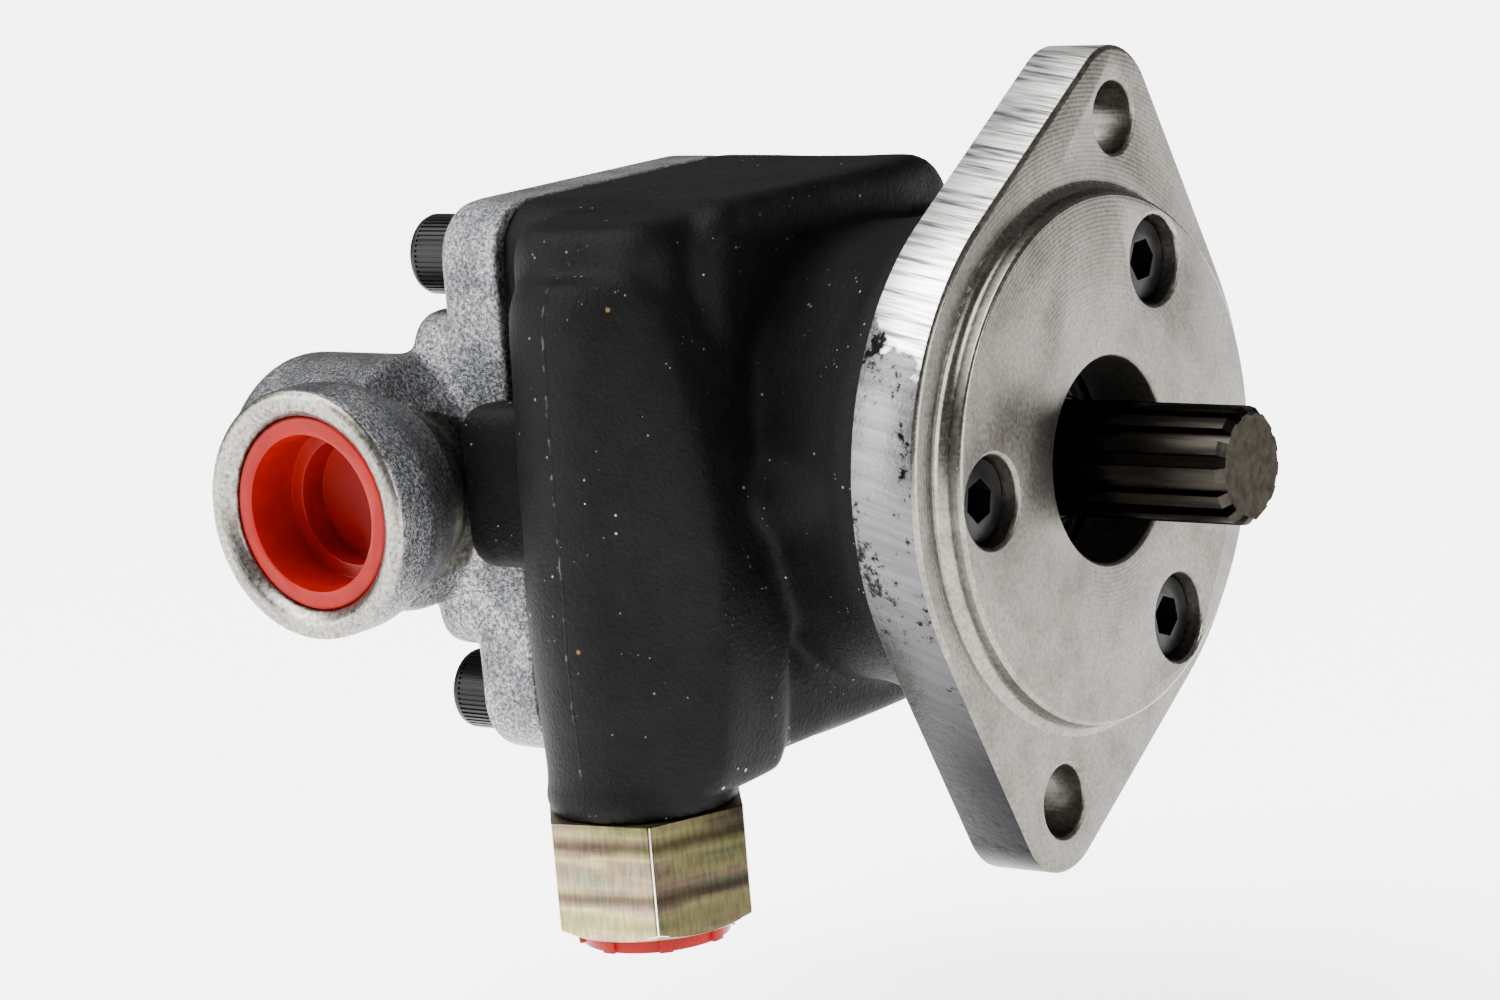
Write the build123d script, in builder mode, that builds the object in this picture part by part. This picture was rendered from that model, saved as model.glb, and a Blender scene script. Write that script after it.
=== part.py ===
"""Hydraulic internal-gear pump with a two-bolt flange, splined shaft and two ports.

Frame, in millimetres: the origin is the centre of the pilot on the flange's mounting
face, +X points out along the drive shaft, +Z is up and the port column is on the -Y side.
"""
from build123d import *
from math import cos, pi, radians, sin
from cmath import exp
import os

os.makedirs("parts", exist_ok=True)

# ---- mounting flange ----
pilot_d = 82.55
pilot_height = 4.0
flange_thickness = 11.5
flange_mid_radius = 47.5
ear_radius = 11.2
bolt_circle = 106.38
bolt_hole_d = 11.1
clocking = 15.0              # the ears lean this far from vertical, towards +Y
ear_angle = 90 - clocking    # measured from +Y towards +Z
centre_hole_lip = 1.5         # the centre hole is this much smaller in radius than the seal's bore
pilot_cove = 2.0

# ---- flange screws, M8 socket head ----
screw_d = 8.0
head_d = 13.0
head_height = 8.0
socket_af = 6.0
socket_depth = 4.5
head_clearance = 0.45
flange_screw_circle = 66.0
flange_screw_start = 60.0
head_recess = 2.5
flange_screw_grip = 18.0

# ---- body ----
body_length = 70.5
block_length = 42.0
block_rise = 16.0             # block beyond the outer rotor, above and below
block_side = 10.0             # body beyond the outer rotor on the port side
cover_side = 12.0             # cover beyond the outer rotor on the port side
block_inset = 2.0             # block inside the outer rotor's radius on the far side
block_corner = 9.0
block_toe_height = 3.4
block_toe_length = 8.5
neck_radius = 41.3
neck_rim = 7.0
waist_radius = 37.0
boss_radius = 8.0
cast_edge = 3.0

# ---- gear set: an inner rotor with six lobes inside an outer rotor with seven ----
inner_lobes = 6
outer_lobes = inner_lobes + 1
eccentricity = 3.0
lobe_circle = 25.0
lobe_radius = 7.5
ring_radius = 29.0
rotor_width = 22.0
housing_wall = 9.0
running_fit = 0.06
side_fit = 0.04
mesh_gap = 0.08
kidney_width = 13.0
kidney_sweep = 100.0
rotor_relief_width = 4.0
rotor_relief_depth = 2.4

# ---- drive shaft ----
spline_teeth = 13
spline_d = 18.2
spline_depth = 1.45
groove_root_width = 1.5
groove_mouth_width = 2.5
spline_reach = 29.0
spline_length = 34.0
journal_d = 20.0
end_chamfer = 1.1
key_side = 5.0
key_length = 16.0
key_in_shaft = 3.0

# ---- bushes, seals and rings ----
bush_wall = 1.5
front_bush_length = 20.0
rear_bush_length = 13.0
spigot_wall = 4.5
spigot_height = 2.8
seal_section = 7.5            # from the journal out to the seal's bore
seal_width = 7.0
ring_section = 2.6
snap_thickness = 1.2

# ---- rear cover ----
cover_thickness = 12.0
pad_height = 8.0
pad_half_height = 27.5
pad_corner = 6.0
pad_reach = 17.0
screw_edge = 9.0              # from a cover screw's axis to the two nearest edges
cover_screw_grip = 11.5
dowel_d = 5.0
dowel_length = 16.0
dowel_edge = 6.0

# ---- rear port, facing -Y ----
port_setback = 21.0           # port axis behind the joint
port_z = 0.0
port_standoff = 27.0          # port face beyond the cover's side
port_outer_radius = 20.2
port_bore_radius = 15.6
port_depth = 19.0
elbow_radius = 20.7
elbow_overhang = 4.5          # elbow axis beyond the cover's side
elbow_z = 1.0
elbow_tail = 21.0             # elbow end behind the port axis
elbow_front = 4.0             # elbow shoulder in front of the port axis
elbow_run = 10.0              # length of the cone from the shoulder to the cover
port_collar = 8.0
passage_radius = 12.0
passage_depth = 10.0          # from the cover's side inwards
feed_radius = 5.5
feed_z = 12.0

# ---- bottom port column and its hexagonal adapter ----
column_setback = 23.6         # column axis in front of the joint
column_standoff = 5.6         # column axis beyond the block's side
column_radius = 15.4
column_drop = 3.4             # column foot below the block
column_collar = 3.0
collar_inset = 0.4
flank_radius = 4.0           # rounded edge between the column's front and its flank
flank_lead = 3.6              # flank edge beyond the column's axis
cap_below = 1.5               # cap top below the block's top
cap_height = 17.5
cap_edge = 4.5
cap_back_round = 12.4
cap_front_round = 6.6
cap_root_round = 14.0
lug_width = 26.0
lug_height = 8.3
lug_z = 1.5
adapter_af = 30.0
adapter_height = 18.6
adapter_turn = 10.0
adapter_stud_radius = 11.2
adapter_seal_section = 1.8
adapter_stud_length = 14.0
adapter_bore_radius = 6.5
adapter_socket_radius = 9.3
adapter_socket_depth = 13.0

# ---- transport plugs ----
plug_fit = 0.05
plug_wall = 2.2
plug_recess = 1.8
cap_rim_height = 2.8

# ---- planes along the drive axis ----
flange_back = -flange_thickness
block_half_height = ring_radius + block_rise
block_left = ring_radius + block_side
cover_left = ring_radius + cover_side
block_right = ring_radius - block_inset
joint_x = flange_back - body_length
block_front = joint_x + block_length
cover_back = joint_x - cover_thickness
pad_back = cover_back - pad_height
pocket_front = joint_x + rotor_width
journal_radius = journal_d / 2
rotor_y = -eccentricity
pocket_radius = ring_radius + running_fit
seal_groove_in = pocket_radius + 2.0
bush_radius = journal_radius + bush_wall
seal_bore_radius = journal_radius + seal_section
spigot_radius = seal_bore_radius + spigot_wall
centre_hole_d = 2 * (seal_bore_radius - centre_hole_lip)
port_x = joint_x - port_setback
port_face = cover_left + port_standoff
passage_end = cover_left - passage_depth
feed_x = cover_back
elbow_y = -cover_left - elbow_overhang
elbow_end = port_x - elbow_tail
elbow_shoulder = port_x + elbow_front
elbow_foot = elbow_shoulder + elbow_run
column_x = joint_x + column_setback
column_y = -block_left - column_standoff
column_foot = -block_half_height - column_drop
cap_top = block_half_height - cap_below
cap_base = cap_top - cap_height
adapter_bottom = column_foot - adapter_height
pilot_face = pilot_height
head_bore_radius = head_d / 2 + head_clearance
head_seat = pilot_face - head_recess - head_height
front_bush_front = flange_back - 12.0
# the column's section changes with height: height, radius round the port, flank from its axis
column_sections = [(column_foot + column_collar, column_radius, 16.4),
                   (column_foot + 17.4, column_radius, 21.2),
                   (column_foot + 34.4, column_radius - 0.1, 22.8),
                   (cap_top - 41.5, column_radius - 0.3, 22.4),
                   (cap_top - 26.5, column_radius - 0.8, 19.4),
                   (cap_top - 15.5, column_radius - 1.3, 16.4),
                   (cap_top - 9.5, column_radius - 2.8, 13.8),
                   (cap_top - 7.5, column_radius - 5.0, 11.8)]
cover_screw_spots = [(y, z) for y in (screw_edge - cover_left, block_right - screw_edge)
                     for z in (screw_edge - block_half_height, block_half_height - screw_edge)]
dowel_spots = [(rotor_y - 15.0, dowel_edge - block_half_height),
               (rotor_y + 7.0, block_half_height - dowel_edge)]


def finish(builder, name):
    """Label one finished piece and write its STEP file."""
    builder.part.label = name
    export_step(builder.part, f"parts/{name}.step")


def housing_outline(left):
    """Shared outline of the body block and the cover: a block with a round gear housing."""
    width = left + block_right
    with Locations(((block_right - left) / 2, 0)):
        RectangleRounded(width, 2 * block_half_height, block_corner)
    with Locations((rotor_y, 0)):
        Circle(ring_radius + housing_wall)


def kidney(centre_angle):
    """Curved port slot beside the gear set, drawn about the rotor axis."""
    with Locations((rotor_y, 0)):
        SlotArc(CenterArc((0, 0), lobe_circle - lobe_radius + 1.0,
                          centre_angle - kidney_sweep / 2, kidney_sweep), kidney_width / 2)


# ---- mounting_flange: two-eared plate with the locating pilot ----
with BuildPart() as mounting_flange:
    with BuildSketch(Plane.YZ.offset(flange_back)):
        Circle(flange_mid_radius)
        with PolarLocations(bolt_circle / 2, 2, start_angle=ear_angle):
            Circle(ear_radius)
        make_hull()
    extrude(amount=flange_thickness)
    flange_face = mounting_flange.faces().sort_by(Axis.X)[-1]
    chamfer(flange_face.edges(), 0.6)
    with BuildSketch(Plane.YZ):
        Circle(pilot_d / 2)
    extrude(amount=pilot_height)
    pilot_edges = mounting_flange.edges().filter_by(GeomType.CIRCLE)
    pilot_edges = pilot_edges.filter_by(lambda e: abs(e.radius - pilot_d / 2) < 0.01)
    fillet(pilot_edges.sort_by(Axis.X)[0], pilot_cove)
    chamfer(pilot_edges.sort_by(Axis.X)[-1], 0.4)
    with BuildSketch(Plane.YZ.offset(pilot_face)):
        Circle(centre_hole_d / 2)
    extrude(amount=-pilot_face - flange_thickness, mode=Mode.SUBTRACT)
    with BuildSketch(Plane.YZ.offset(flange_back)):
        Circle(spigot_radius + 0.03)
    extrude(amount=spigot_height + 0.2, mode=Mode.SUBTRACT)
    with BuildSketch(Plane.YZ.offset(head_seat)):
        with PolarLocations(flange_screw_circle / 2, 3, start_angle=flange_screw_start):
            Circle(head_bore_radius)
    extrude(amount=pilot_face - head_seat, mode=Mode.SUBTRACT)
    with BuildSketch(Plane.YZ.offset(flange_back)):
        with PolarLocations(flange_screw_circle / 2, 3, start_angle=flange_screw_start):
            Circle(screw_d / 2 + 0.25)
        with PolarLocations(bolt_circle / 2, 2, start_angle=ear_angle):
            Circle(bolt_hole_d / 2)
    extrude(amount=flange_thickness, mode=Mode.SUBTRACT)
    rims = mounting_flange.edges().filter_by(GeomType.CIRCLE)
    chamfer(rims.filter_by(lambda e: abs(e.radius - bolt_hole_d / 2) < 0.01), 0.5)
    face_rims = rims.filter_by(lambda e: abs(e.arc_center.X - pilot_face) < 0.01)
    chamfer(face_rims.filter_by(lambda e: e.radius < pilot_d / 4), 0.5)
finish(mounting_flange, "mounting_flange")

# ---- pump_body: iron casting with gear housing, neck, port column and lug ----
with BuildPart() as pump_body:
    with BuildSketch(Plane.YZ.offset(joint_x)):
        housing_outline(block_left)
    extrude(amount=block_length)
    # the foot of the block's front face is cut back
    with BuildSketch(Plane.XZ.offset(block_left + 1)):
        Polygon((block_front, -block_half_height), (block_front, -block_half_height +
                block_toe_height), (block_front - block_toe_length, -block_half_height),
                align=None)
    extrude(amount=-block_left - block_right - 2, mode=Mode.SUBTRACT)
    front_rim = pump_body.faces().sort_by(Axis.X)[-1].edges()
    fillet(front_rim, cast_edge)
    with BuildSketch(Plane.XY):
        with BuildLine():
            Polyline((block_front - 12, 0), (block_front - 12, waist_radius - 3),
                     (block_front, waist_radius))
            Spline((block_front, waist_radius),
                   (flange_back - neck_rim - 7, waist_radius + 1.6),
                   (flange_back - neck_rim, neck_radius))
            Polyline((flange_back - neck_rim, neck_radius), (flange_back, neck_radius),
                     (flange_back, 0), (block_front - 12, 0))
        make_face()
    revolve(axis=Axis.X)
    with BuildSketch(Plane.YZ.offset(flange_back)):
        with PolarLocations(flange_screw_circle / 2, 3, start_angle=flange_screw_start):
            Circle(boss_radius - 0.7)
    extrude(amount=block_front - flange_back - 1)
    # port column: round at the adapter's end, with a flank that swells towards the flange
    for height, port_round, flank in column_sections:
        with BuildSketch(Plane.XY.offset(height)):
            with Locations((column_x, column_y)):
                Circle(port_round)
            with Locations(Location((column_x + flank - flank_radius, column_y - flank_lead, 0),
                                    (0, 0, 180)),
                           Location((column_x + flank - flank_radius, 5.0 - block_left, 0),
                                    (0, 0, 180))):
                Circle(flank_radius)
            make_hull()
    loft()
    with BuildSketch(Plane.XY.offset(column_foot)):
        with Locations((column_x, column_y)):
            Circle(column_radius - collar_inset)
    extrude(amount=column_collar + 1.0)
    # cap over the column: a set-back shoulder whose top edge is rounded over
    for height, inset in ((cap_base, 0), (cap_top - cap_edge, 0), (cap_top - 1.2, 1.5),
                          (cap_top, cap_edge)):
        with BuildSketch(Plane.XY.offset(height)):
            with Locations((column_x - 3.6, column_y + 4.4)):
                Circle(cap_back_round - inset)
            with Locations(Location((column_x + 8.2, column_y + 0.6, 0), (0, 0, 180))):
                Circle(cap_front_round - inset)
            with Locations((column_x, 9.0 - block_left)):
                Circle(cap_root_round - inset)
            make_hull()
    loft()
    # lug beside the column that reaches back over the cover's edge
    for reach, inset in ((0.3, 0), (lug_height - 2.4, 0), (lug_height - 0.7, 0.7),
                         (lug_height, 2.4)):
        with BuildSketch(Plane.XZ.offset(cover_left + reach)):
            with Locations((joint_x + 4.8, lug_z)):
                RectangleRounded(18.0 - 2 * inset, lug_width - 2 * inset, 4.5 - inset)
    loft()
    with BuildSketch(Plane.XZ.offset(block_left - 2.0)):
        with Locations((joint_x + 7.0, lug_z)):
            RectangleRounded(14.0, lug_width, 4.4)
    extrude(amount=cover_left + 2.3 - block_left)
    # spigot that centres the flange, with the seal groove round it
    with BuildSketch(Plane.YZ.offset(flange_back)):
        Circle(spigot_radius)
    extrude(amount=spigot_height)
    with BuildSketch(Plane.YZ.offset(flange_back)):
        Circle(spigot_radius + 2 + ring_section)
        Circle(spigot_radius + 2, mode=Mode.SUBTRACT)
    extrude(amount=-ring_section, mode=Mode.SUBTRACT)
    # bore for seal, retaining ring, front bush and shaft
    with BuildSketch(Plane.XY):
        seal_back = flange_back - seal_width
        snap_back = flange_back + 0.2
        with BuildLine():
            Polyline((flange_back + spigot_height, 0),
                     (flange_back + spigot_height, seal_bore_radius),
                     (snap_back + snap_thickness, seal_bore_radius),
                     (snap_back + snap_thickness, seal_bore_radius + 1.2),
                     (snap_back, seal_bore_radius + 1.2),
                     (snap_back, seal_bore_radius),
                     (seal_back, seal_bore_radius),
                     (seal_back, bush_radius + 1.5),
                     (front_bush_front, bush_radius + 1.5),
                     (front_bush_front, bush_radius),
                     (front_bush_front - front_bush_length, bush_radius),
                     (front_bush_front - front_bush_length, journal_radius + 0.6),
                     (pocket_front + rotor_relief_depth, journal_radius + 0.6),
                     (pocket_front + rotor_relief_depth,
                      journal_radius + rotor_relief_width),
                     (pocket_front, journal_radius + rotor_relief_width),
                     (pocket_front, 0), (flange_back + spigot_height, 0))
        make_face()
    revolve(axis=Axis.X, mode=Mode.SUBTRACT)
    # gear pocket, cover seal groove and the two kidney slots in its floor
    with BuildSketch(Plane.YZ.offset(joint_x)):
        with Locations((rotor_y, 0)):
            Circle(pocket_radius)
    extrude(amount=rotor_width, mode=Mode.SUBTRACT)
    with BuildSketch(Plane.YZ.offset(joint_x)):
        with Locations((rotor_y, 0)):
            Circle(seal_groove_in + ring_section)
            Circle(seal_groove_in, mode=Mode.SUBTRACT)
    extrude(amount=ring_section, mode=Mode.SUBTRACT)
    with BuildSketch(Plane.YZ.offset(pocket_front)):
        kidney(270)
    extrude(amount=8.0, mode=Mode.SUBTRACT)
    # outlet passage: across to the column, then down to the adapter thread
    with BuildSketch(Plane.XZ.offset(-rotor_y)):
        with Locations((pocket_front + 4.5, -lobe_circle + lobe_radius - 1)):
            Circle(3.9)
    extrude(amount=-column_y + rotor_y, mode=Mode.SUBTRACT)
    with BuildSketch(Plane.XY.offset(column_foot)):
        with Locations((column_x, column_y)):
            Circle(adapter_bore_radius)
    extrude(amount=-column_foot - 12, mode=Mode.SUBTRACT)
    with BuildSketch(Plane.XY.offset(column_foot)):
        with Locations((column_x, column_y)):
            Circle(adapter_stud_radius)
    extrude(amount=adapter_stud_length + 1, mode=Mode.SUBTRACT)
    with BuildSketch(Plane.XY.offset(column_foot)):
        with Locations((column_x, column_y)):
            Circle(adapter_stud_radius + adapter_seal_section)
    extrude(amount=adapter_seal_section, mode=Mode.SUBTRACT)
    # tapped holes for both sets of screws, and dowel holes
    with BuildSketch(Plane.YZ.offset(flange_back)):
        with PolarLocations(flange_screw_circle / 2, 3, start_angle=flange_screw_start):
            Circle(screw_d / 2)
    extrude(amount=-flange_screw_grip, mode=Mode.SUBTRACT)
    with BuildSketch(Plane.YZ.offset(joint_x)):
        with Locations(*cover_screw_spots):
            Circle(screw_d / 2)
    extrude(amount=cover_screw_grip, mode=Mode.SUBTRACT)
    with BuildSketch(Plane.YZ.offset(joint_x)):
        with Locations(*dowel_spots):
            Circle(dowel_d / 2)
    extrude(amount=dowel_length / 2, mode=Mode.SUBTRACT)
finish(pump_body, "pump_body")

# ---- rear_cover: aluminium casting with the elbow boss of the rear port ----
with BuildPart() as rear_cover:
    with BuildSketch(Plane.YZ.offset(cover_back)):
        housing_outline(cover_left)
    extrude(amount=cover_thickness)
    fillet(rear_cover.faces().sort_by(Axis.X)[0].edges(), 2.0)
    with BuildSketch(Plane.YZ.offset(pad_back)):
        with Locations(((pad_reach - cover_left) / 2, 0)):
            RectangleRounded(pad_reach + cover_left, 2 * pad_half_height, pad_corner)
    extrude(amount=pad_height + 2.5)
    fillet(rear_cover.faces().sort_by(Axis.X)[0].edges(), 2.4)
    # elbow boss: one cylinder along the drive axis, one along the port
    with BuildSketch(Plane.YZ.offset(elbow_end)):
        with Locations((elbow_y, elbow_z)):
            Circle(elbow_radius)
    extrude(amount=elbow_shoulder - elbow_end)
    fillet(rear_cover.faces().sort_by(Axis.X)[0].edges(), 4.5)
    with BuildSketch(Plane.YZ.offset(elbow_shoulder)):
        with Locations((elbow_y, elbow_z)):
            Circle(elbow_radius)
    with BuildSketch(Plane.YZ.offset(elbow_foot)):
        with Locations((elbow_y + 15.0, elbow_z)):
            Circle(elbow_radius - 9.0)
    loft()
    with BuildSketch(Plane.XZ.offset(port_face)):
        with Locations((port_x, port_z)):
            Circle(port_outer_radius)
    extrude(amount=-port_collar)
    with BuildSketch(Plane.XZ.offset(port_face - port_collar)):
        with Locations((port_x, port_z)):
            Circle(port_outer_radius)
    extrude(amount=port_collar - port_face - elbow_y, taper=21)
    chamfer(rear_cover.faces().sort_by(Axis.Y)[0].edges(), 0.8)
    # threaded mouth with its seal chamfer, and the passage behind it
    with BuildSketch(Plane.XZ.offset(port_face)):
        with Locations((port_x, port_z)):
            Circle(port_bore_radius)
    extrude(amount=-port_depth, mode=Mode.SUBTRACT)
    mouth = rear_cover.faces().sort_by(Axis.Y)[0].edges().sort_by(SortBy.LENGTH)[0]
    chamfer(mouth, 1.6)
    with BuildSketch(Plane.XZ.offset(passage_end)):
        with Locations((port_x, port_z)):
            Circle(passage_radius)
    extrude(amount=port_face - port_depth - passage_end, mode=Mode.SUBTRACT)
    with BuildSketch(Plane.XZ.offset(14.0)):
        with Locations((feed_x, feed_z)):
            Circle(feed_radius)
    extrude(amount=passage_end - 8.0, mode=Mode.SUBTRACT)
    # blind bearing bore, ring recess, and the inlet kidney that the feed drilling meets
    with BuildSketch(Plane.YZ.offset(joint_x)):
        Circle(bush_radius)
    extrude(amount=-rear_bush_length - 2, mode=Mode.SUBTRACT)
    with BuildSketch(Plane.YZ.offset(joint_x)):
        Circle(journal_radius + rotor_relief_width)
    extrude(amount=-rotor_relief_depth, mode=Mode.SUBTRACT)
    with BuildSketch(Plane.YZ.offset(joint_x)):
        kidney(100)
    extrude(amount=-9.0, mode=Mode.SUBTRACT)
    with BuildSketch(Plane.YZ.offset(joint_x)):
        with Locations(*cover_screw_spots):
            Circle(screw_d / 2 + 0.4)
    extrude(amount=-cover_thickness, mode=Mode.SUBTRACT)
    with BuildSketch(Plane.YZ.offset(joint_x)):
        with Locations(*dowel_spots):
            Circle(dowel_d / 2)
    extrude(amount=-dowel_length / 2, mode=Mode.SUBTRACT)
finish(rear_cover, "rear_cover")

# ---- drive_shaft: splined end, seal journal, rotor seat and rear journal ----
spline_end = spline_reach - spline_length
rotor_front = pocket_front - side_fit
rotor_back = joint_x + side_fit
shaft_end = joint_x - rear_bush_length
groove_root = spline_d / 2 - spline_depth
with BuildPart() as drive_shaft:
    with BuildSketch(Plane.YZ.offset(spline_end)):
        Circle(spline_d / 2)
    extrude(amount=spline_length)
    chamfer(drive_shaft.faces().sort_by(Axis.X)[-1].edges(), end_chamfer)
    with BuildSketch(Plane.YZ.offset(spline_end)):
        with PolarLocations(0, spline_teeth):
            Polygon((groove_root, -groove_root_width / 2),
                    (spline_d / 2 + 0.5, -groove_mouth_width / 2),
                    (spline_d / 2 + 0.5, groove_mouth_width / 2),
                    (groove_root, groove_root_width / 2), align=None)
    extrude(amount=spline_length, mode=Mode.SUBTRACT)
    with BuildSketch(Plane.YZ.offset(shaft_end)):
        Circle(journal_radius)
    extrude(amount=spline_end - shaft_end)
    journal_ends = drive_shaft.edges().filter_by(GeomType.CIRCLE)
    chamfer(journal_ends.filter_by(lambda e: abs(e.radius - journal_radius) < 0.01), 0.6)
    # keyway under the inner rotor and a groove on each side of it
    with BuildSketch(Plane.XZ.offset(journal_radius - key_in_shaft)):
        with Locations(((rotor_front + rotor_back) / 2, 0)):
            Rectangle(key_length, key_side)
    extrude(amount=key_in_shaft + 1, mode=Mode.SUBTRACT)
    for groove_x in (rotor_front + side_fit, rotor_back - side_fit - snap_thickness):
        with BuildSketch(Plane.YZ.offset(groove_x)):
            Circle(journal_radius + 1)
            Circle(journal_radius - 0.9, mode=Mode.SUBTRACT)
        extrude(amount=snap_thickness, mode=Mode.SUBTRACT)
finish(drive_shaft, "drive_shaft")


def inner_profile(steps):
    """Points of the inner rotor: the path of one outer lobe's centre, moved in by its radius."""
    points = []
    for i in range(steps):
        t = 2 * pi * i / steps
        centre = lobe_circle * exp(1j * t) + eccentricity * exp(1j * outer_lobes * t)
        across = lobe_circle * exp(1j * t)
        across += outer_lobes * eccentricity * exp(1j * outer_lobes * t)
        point = centre - (lobe_radius + mesh_gap) * across / abs(across)
        points.append((point.real, point.imag))
    return points


# ---- inner_rotor: six-lobed gear keyed to the shaft ----
with BuildPart() as inner_rotor:
    with BuildSketch(Plane.YZ.offset(rotor_back)):
        with BuildLine():
            Spline(*inner_profile(inner_lobes * 28), periodic=True)
        make_face()
        Circle(journal_radius, mode=Mode.SUBTRACT)
        with Locations((-journal_radius, 0)):
            Rectangle(2 * (key_side - key_in_shaft), key_side, mode=Mode.SUBTRACT)
    extrude(amount=rotor_front - rotor_back)
finish(inner_rotor, "inner_rotor")

# ---- outer_rotor: ring whose seven round lobes mesh with the inner rotor ----
root_radius = lobe_circle + 2 * eccentricity - lobe_radius + mesh_gap
with BuildPart() as outer_rotor:
    with BuildSketch(Plane.YZ.offset(rotor_back)):
        with Locations((rotor_y, 0)):
            with PolarLocations(lobe_circle, outer_lobes, start_angle=180 / outer_lobes):
                Circle(lobe_radius)
            Circle(ring_radius - 0.5, mode=Mode.INTERSECT)
            Circle(ring_radius)
            Circle(root_radius, mode=Mode.SUBTRACT)
            with PolarLocations(lobe_circle, outer_lobes, start_angle=180 / outer_lobes):
                Circle(lobe_radius)
            Circle(ring_radius, mode=Mode.INTERSECT)
    extrude(amount=rotor_front - rotor_back)
finish(outer_rotor, "outer_rotor")

# ---- rotor_key: parallel key between shaft and inner rotor ----
with BuildPart() as rotor_key:
    with BuildSketch(Plane.XZ.offset(journal_radius - key_in_shaft)):
        with Locations(((rotor_front + rotor_back) / 2, 0)):
            Rectangle(key_length, key_side)
    extrude(amount=key_side)
finish(rotor_key, "rotor_key")

# ---- shaft_retaining_rings: one open ring on each side of the inner rotor ----
with BuildPart() as shaft_retaining_rings:
    for ring_x in (rotor_front + side_fit, rotor_back - side_fit - snap_thickness):
        with BuildSketch(Plane.YZ.offset(ring_x)):
            Circle(journal_radius + 1.8)
            Circle(journal_radius - 0.9, mode=Mode.SUBTRACT)
            with Locations((0, -journal_radius)):
                Rectangle(5.0, 6.0, mode=Mode.SUBTRACT)
        extrude(amount=snap_thickness)
finish(shaft_retaining_rings, "shaft_retaining_rings")


# ---- front_bush and rear_bush: plain sleeves with a running fit on the journals ----
for name, front, length in (("front_bush", front_bush_front, front_bush_length),
                            ("rear_bush", joint_x - rotor_relief_depth,
                             rear_bush_length - rotor_relief_depth + 1.0)):
    with BuildPart() as sleeve:
        with BuildSketch(Plane.YZ.offset(front - length)):
            Circle(bush_radius)
            Circle(journal_radius + 0.03, mode=Mode.SUBTRACT)
        extrude(amount=length)
    finish(sleeve, name)

# ---- shaft_seal: lip seal with an open front, and the spring round its lip ----
seal_front = flange_back + 0.2
lip_radius = journal_radius + 0.05
with BuildPart() as shaft_seal:
    with BuildSketch(Plane.XY):
        with BuildLine():
            Polyline((seal_back, seal_bore_radius), (seal_front, seal_bore_radius),
                     (seal_front, lip_radius + 3.4), (seal_front - 1.4, lip_radius + 0.4),
                     (seal_front - 2.0, lip_radius), (seal_back + 2.6, lip_radius),
                     (seal_back + 0.8, lip_radius + 1.2), (seal_back + 0.8, lip_radius + 2.4),
                     (seal_front - 2.0, lip_radius + 4.0),
                     (seal_front - 2.0, seal_bore_radius - 2.0),
                     (seal_back, seal_bore_radius - 2.0), (seal_back, seal_bore_radius))
        make_face()
    revolve(axis=Axis.X)
finish(shaft_seal, "shaft_seal")

with BuildPart() as seal_spring:
    with BuildSketch(Plane.XY):
        with Locations((seal_back + 1.55, lip_radius + 3.4)):
            Circle(0.6)
    revolve(axis=Axis.X)
finish(seal_spring, "seal_spring")

# ---- seal_retaining_ring: internal ring that holds the shaft seal ----
with BuildPart() as seal_retaining_ring:
    with BuildSketch(Plane.YZ.offset(seal_front)):
        Circle(seal_bore_radius + 1.1)
        Circle(seal_bore_radius - 2.2, mode=Mode.SUBTRACT)
        with Locations((0, -seal_bore_radius)):
            Rectangle(6.0, 7.0, mode=Mode.SUBTRACT)
        for side in (-1, 1):
            with Locations((side * 5.4, -seal_bore_radius + 2.2)):
                Circle(2.1)
            with Locations((side * 5.4, -seal_bore_radius + 2.2)):
                Circle(0.9, mode=Mode.SUBTRACT)
    extrude(amount=snap_thickness)
finish(seal_retaining_ring, "seal_retaining_ring")

# ---- O-rings at the flange, the cover and the adapter ----
for name, axis_y, ring_x, ring_r in (
        ("flange_seal", 0, flange_back - ring_section / 2,
         spigot_radius + 2 + ring_section / 2),
        ("cover_seal", rotor_y, joint_x + ring_section / 2,
         seal_groove_in + ring_section / 2)):
    with BuildPart() as o_ring:
        with BuildSketch(Plane.XY):
            with Locations((ring_x, axis_y + ring_r)):
                Circle(ring_section / 2)
        revolve(axis=Axis((0, axis_y, 0), (1, 0, 0)))
    finish(o_ring, name)

with BuildPart() as adapter_seal:
    with BuildSketch(Plane.XZ.offset(-column_y)):
        with Locations((column_x + adapter_stud_radius + adapter_seal_section / 2,
                        column_foot + adapter_seal_section / 2)):
            Circle(adapter_seal_section / 2)
    revolve(axis=Axis((column_x, column_y, 0), (0, 0, 1)))
finish(adapter_seal, "adapter_seal")

# ---- dowel_pins: two pins that line the cover up with the body ----
with BuildPart() as dowel_pins:
    with BuildSketch(Plane.YZ.offset(joint_x - dowel_length / 2)):
        with Locations(*dowel_spots):
            Circle(dowel_d / 2)
    extrude(amount=dowel_length)
    chamfer(dowel_pins.edges().filter_by(GeomType.CIRCLE), 0.4)
finish(dowel_pins, "dowel_pins")


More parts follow.
